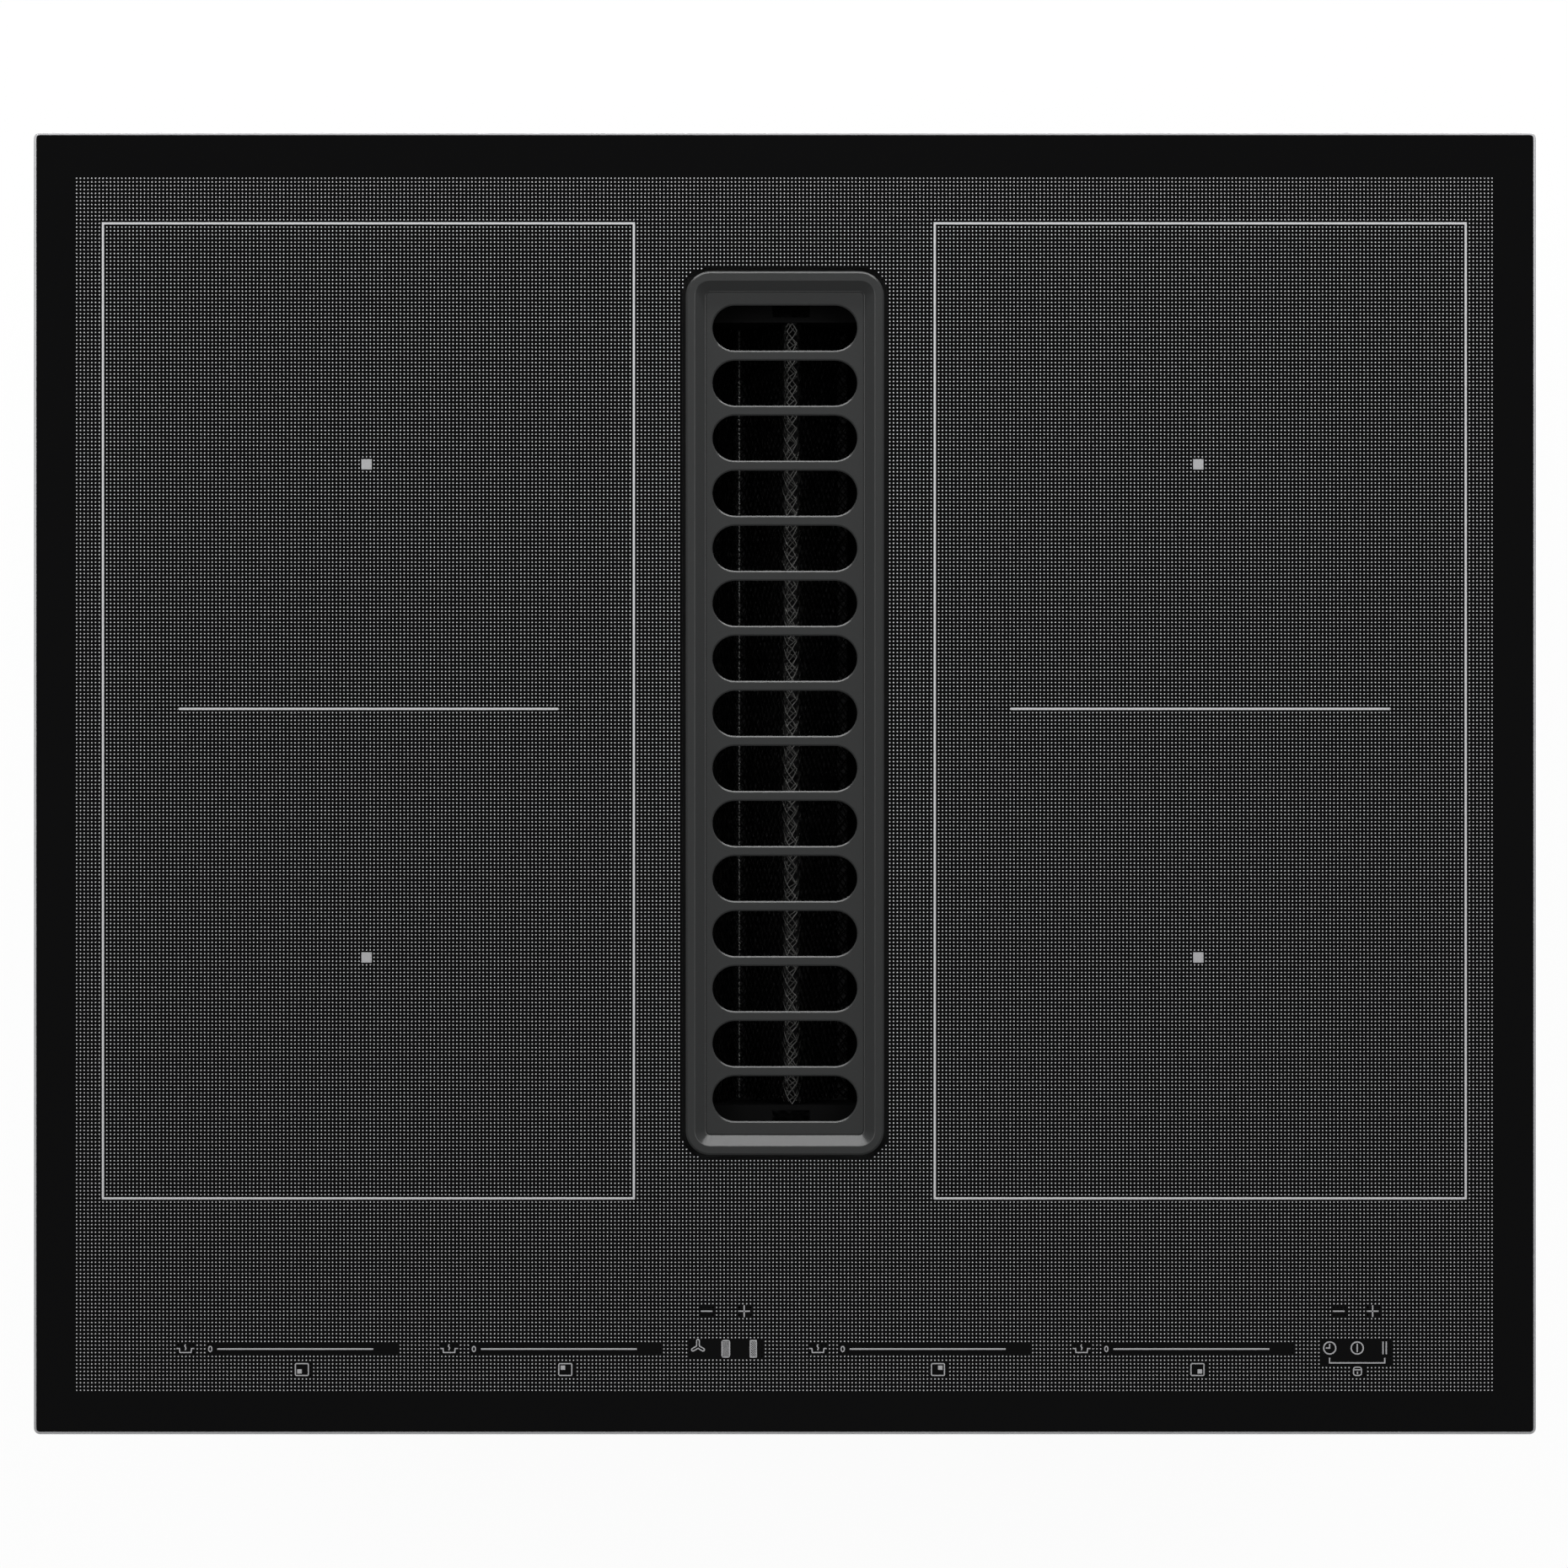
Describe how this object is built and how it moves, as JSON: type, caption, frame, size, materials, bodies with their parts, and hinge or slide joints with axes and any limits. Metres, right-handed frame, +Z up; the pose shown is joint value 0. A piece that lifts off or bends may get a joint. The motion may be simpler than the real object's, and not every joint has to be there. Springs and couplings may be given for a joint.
{
  "type": "downdraft induction cooktop",
  "caption": "A glass induction hob with an extractor in its middle: a slotted lift-off grille over a mesh grease filter, a carbon filter and a blower that feeds a flat duct at the back",
  "frame": {"origin": "Under the middle of the glass, on the flat underside of the air box", "axes": "+X is the cook's right, along the longest side. +Y is the back edge, away from the controls. +Z is up"},
  "size_m": [0.6, 0.52, 0.2116],
  "materials": {
    "glass_ceramic": "polished black glass ceramic with a light grey print",
    "edge_trim": "fine brushed metal",
    "foam_seal": "matt closed-cell foam",
    "grille": "matt anthracite enamel",
    "filter_mesh": "expanded steel mesh, dull",
    "black_enamel": "matt black enamel on sheet steel",
    "carbon_bed": "matt black granules",
    "zinc_sheet": "galvanised sheet",
    "grey_plastic": "moulded dark grey plastic",
    "dark_plastic": "moulded black plastic",
    "aluminium": "plain aluminium",
    "copper_winding": "enamelled copper strand",
    "ceramic_wool": "pressed ceramic wool",
    "circuit_board": "green circuit board",
    "motor_steel": "grey lacquered steel"
  },
  "bodies": {
    "root": {"glass_top": "glass_ceramic", "edge_trim": "edge_trim", "worktop_seal": "foam_seal", "casing_tub": "zinc_sheet", "coil_carrier_front_left": "grey_plastic", "coil_front_left": "copper_winding", "insulation_pad_front_left": "ceramic_wool", "glass_sensor_front_left": "aluminium", "coil_carrier_back_left": "grey_plastic", "coil_back_left": "copper_winding", "insulation_pad_back_left": "ceramic_wool", "glass_sensor_back_left": "aluminium", "coil_carrier_front_right": "grey_plastic", "coil_front_right": "copper_winding", "insulation_pad_front_right": "ceramic_wool", "glass_sensor_front_right": "aluminium", "coil_carrier_back_right": "grey_plastic", "coil_back_right": "copper_winding", "insulation_pad_back_right": "ceramic_wool", "glass_sensor_back_right": "aluminium", "power_board_left": "circuit_board", "heatsink_left": "aluminium", "coil_shelf_left": "aluminium", "power_board_right": "circuit_board", "heatsink_right": "aluminium", "coil_shelf_right": "aluminium", "touch_carrier": "dark_plastic", "touch_board": "circuit_board", "cooling_fan_frame_left": "dark_plastic", "cooling_fan_frame_right": "dark_plastic", "terminal_box": "dark_plastic", "terminal_lid": "dark_plastic", "cable_gland": "grey_plastic", "worktop_clamp_front_left": "zinc_sheet", "worktop_clamp_back_left": "zinc_sheet", "worktop_clamp_front_right": "zinc_sheet", "worktop_clamp_back_right": "zinc_sheet", "intake_well": "dark_plastic", "air_box_base": "grey_plastic", "air_box_lid": "grey_plastic", "service_cover": "dark_plastic", "blower_motor": "motor_steel", "motor_mount": "zinc_sheet", "blower_scroll": "dark_plastic", "blower_cover": "dark_plastic", "duct_collar": "dark_plastic"},
    "grille": {"grille": "grille"},
    "grease_filter": {"grease_filter_frame": "black_enamel", "grease_filter_mesh": "filter_mesh"},
    "carbon_filter": {"carbon_filter_frame": "grey_plastic", "carbon_filter_bed": "carbon_bed"},
    "impeller": {"impeller": "grey_plastic"},
    "fan_rotor_left": {"cooling_fan_rotor_left": "grey_plastic"},
    "fan_rotor_right": {"cooling_fan_rotor_right": "grey_plastic"}
  },
  "joints": [
    {"name": "grille_lift", "type": "slide", "parent": "root", "child": "grille", "axis": [0, 0, 1], "range_m": [0, 0.2]},
    {"name": "grease_filter_lift", "type": "slide", "parent": "root", "child": "grease_filter", "axis": [0, 0, 1], "range_m": [0, 0.16]},
    {"name": "carbon_filter_lift", "type": "slide", "parent": "root", "child": "carbon_filter", "axis": [0, 0, 1], "range_m": [0, 0.11]},
    {"name": "impeller_spin", "type": "hinge", "parent": "root", "child": "impeller", "pos_m": [0.1495, 0.015, 0.05], "axis": [0, 0, 1], "continuous": true},
    {"name": "fan_spin_left", "type": "hinge", "parent": "root", "child": "fan_rotor_left", "pos_m": [-0.1628, -0.1578, 0.16], "axis": [0, 0, 1], "continuous": true},
    {"name": "fan_spin_right", "type": "hinge", "parent": "root", "child": "fan_rotor_right", "pos_m": [0.1628, -0.1578, 0.16], "axis": [0, 0, 1], "continuous": true}
  ],
  "couplings": [
    {"joint": "grease_filter_lift", "follows": "grille_lift", "ratio": 0.8},
    {"joint": "carbon_filter_lift", "follows": "grille_lift", "ratio": 0.55}
  ]
}
